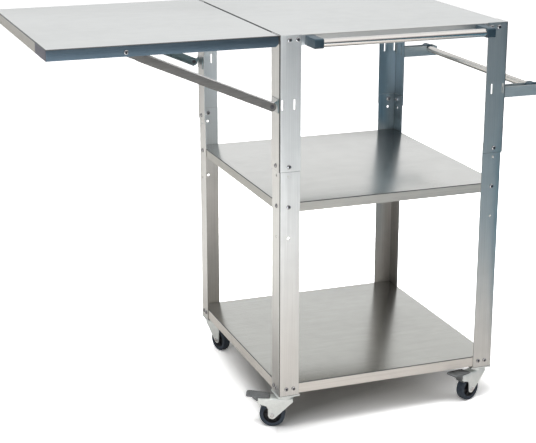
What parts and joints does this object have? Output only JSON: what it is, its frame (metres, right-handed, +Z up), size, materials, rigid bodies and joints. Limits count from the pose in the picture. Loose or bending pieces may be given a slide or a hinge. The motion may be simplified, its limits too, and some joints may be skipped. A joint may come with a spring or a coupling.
{
  "type": "outdoor pizza oven table",
  "caption": "Stainless steel outdoor cart for a tabletop oven, with shelves, a folding side leaf on struts, towel and side rails, and swivel casters.",
  "frame": {"origin": "on the floor, at the centre of the whole outline seen from above", "axes": "+X towards the side rail, away from the leaf; -Y towards the towel bar; +Z up"},
  "size_m": [1.154, 0.6342, 0.918],
  "materials": {
    "stainless": "brushed stainless sheet",
    "tube_steel": "polished stainless tube",
    "bright_steel": "bright stainless fasteners",
    "zinc_steel": "bright zinc plated pressed steel",
    "pedal_steel": "dark zinc plated pressed steel",
    "black_plastic": "moulded black plastic",
    "wheel_plastic": "black polypropylene wheel centre",
    "tyre_rubber": "dark grey rubber tread"
  },
  "bodies": {
    "frame": {"bottom_shelf": "stainless", "caster_plate_bl": "zinc_steel", "caster_plate_br": "zinc_steel", "caster_plate_fl": "zinc_steel", "caster_plate_fr": "zinc_steel", "frame_bolts": "bright_steel", "frame_nuts": "bright_steel", "hinge_pins": "bright_steel", "hinge_table_back": "stainless", "hinge_table_front": "stainless", "lower_leg_bl": "stainless", "lower_leg_br": "stainless", "lower_leg_fl": "stainless", "lower_leg_fr": "stainless", "mid_shelf": "stainless", "rail_arm_back": "stainless", "rail_arm_front": "stainless", "rail_cap_back": "black_plastic", "rail_cap_front": "black_plastic", "rail_rod": "tube_steel", "strut_bracket_back": "stainless", "strut_bracket_front": "stainless", "strut_pins": "bright_steel", "top_panel": "stainless", "towel_bar": "tube_steel", "towel_bracket_left": "black_plastic", "towel_bracket_right": "black_plastic", "towel_screws": "bright_steel", "upper_leg_bl": "stainless", "upper_leg_br": "stainless", "upper_leg_fl": "stainless", "upper_leg_fr": "stainless"},
    "swivel_fl": {"caster_axle_fl": "zinc_steel", "caster_fork_fl": "zinc_steel"},
    "wheel_fl": {"wheel_hub_fl": "wheel_plastic", "wheel_tyre_fl": "tyre_rubber"},
    "swivel_fr": {"caster_axle_fr": "zinc_steel", "caster_fork_fr": "zinc_steel"},
    "wheel_fr": {"wheel_hub_fr": "wheel_plastic", "wheel_tyre_fr": "tyre_rubber"},
    "swivel_bl": {"caster_axle_bl": "zinc_steel", "caster_fork_bl": "zinc_steel"},
    "wheel_bl": {"wheel_hub_bl": "wheel_plastic", "wheel_tyre_bl": "tyre_rubber"},
    "swivel_br": {"caster_axle_br": "zinc_steel", "caster_fork_br": "zinc_steel"},
    "wheel_br": {"wheel_hub_br": "wheel_plastic", "wheel_tyre_br": "tyre_rubber"},
    "pedal_fl": {"brake_pedal_fl": "pedal_steel"},
    "pedal_fr": {"brake_pedal_fr": "pedal_steel"},
    "leaf": {"hinge_leaf_back": "stainless", "hinge_leaf_front": "stainless", "leaf_panel": "stainless", "leaf_studs": "bright_steel"},
    "front_strut": {"strut_front": "stainless"},
    "back_strut": {"strut_back": "stainless"}
  },
  "joints": [
    {"name": "leaf_hinge", "type": "hinge", "parent": "frame", "child": "leaf", "pos_m": [-0.0745, 0.0249, 0.8905], "axis": [0, -1, 0], "range_deg": [0, 90]},
    {"name": "front_strut_pivot", "type": "hinge", "parent": "frame", "child": "front_strut", "pos_m": [-0.0885, -0.2541, 0.763], "axis": [0, -1, 0], "range_deg": [0, 113.6]},
    {"name": "back_strut_pivot", "type": "hinge", "parent": "frame", "child": "back_strut", "pos_m": [-0.0885, 0.3039, 0.763], "axis": [0, -1, 0], "range_deg": [0, 113.6]},
    {"name": "caster_swivel_fl", "type": "hinge", "parent": "frame", "child": "swivel_fl", "pos_m": [-0.048, -0.2381, 0.072], "axis": [0, 0, 1], "continuous": true},
    {"name": "wheel_spin_fl", "type": "hinge", "parent": "swivel_fl", "child": "wheel_fl", "pos_m": [-0.07534, -0.22576, 0.03], "axis": [-0.4115, -0.9114, 0], "continuous": true},
    {"name": "caster_swivel_fr", "type": "hinge", "parent": "frame", "child": "swivel_fr", "pos_m": [0.448, -0.2381, 0.072], "axis": [0, 0, 1], "continuous": true},
    {"name": "wheel_spin_fr", "type": "hinge", "parent": "swivel_fr", "child": "wheel_fr", "pos_m": [0.41996, -0.24875, 0.03], "axis": [0.3551, -0.9348, 0], "continuous": true},
    {"name": "caster_swivel_bl", "type": "hinge", "parent": "frame", "child": "swivel_bl", "pos_m": [-0.048, 0.2879, 0.072], "axis": [0, 0, 1], "continuous": true},
    {"name": "wheel_spin_bl", "type": "hinge", "parent": "swivel_bl", "child": "wheel_bl", "pos_m": [-0.03988, 0.25902, 0.03], "axis": [0.9627, 0.2706, 0], "continuous": true},
    {"name": "caster_swivel_br", "type": "hinge", "parent": "frame", "child": "swivel_br", "pos_m": [0.448, 0.2879, 0.072], "axis": [0, 0, 1], "continuous": true},
    {"name": "wheel_spin_br", "type": "hinge", "parent": "swivel_br", "child": "wheel_br", "pos_m": [0.43873, 0.25937, 0.03], "axis": [0.9511, -0.309, 0], "continuous": true},
    {"name": "brake_pedal_rock_fl", "type": "hinge", "parent": "swivel_fl", "child": "pedal_fl", "pos_m": [-0.09995, -0.21464, 0.0645], "axis": [-0.4115, -0.9114, 0], "range_deg": [0, 12]},
    {"name": "brake_pedal_rock_fr", "type": "hinge", "parent": "swivel_fr", "child": "pedal_fr", "pos_m": [0.39471, -0.25834, 0.0645], "axis": [0.3551, -0.9348, 0], "range_deg": [0, 12]}
  ],
  "couplings": [
    {"joint": "front_strut_pivot", "follows": "leaf_hinge", "ratio": 1.2614},
    {"joint": "back_strut_pivot", "follows": "leaf_hinge", "ratio": 1.2614}
  ]
}
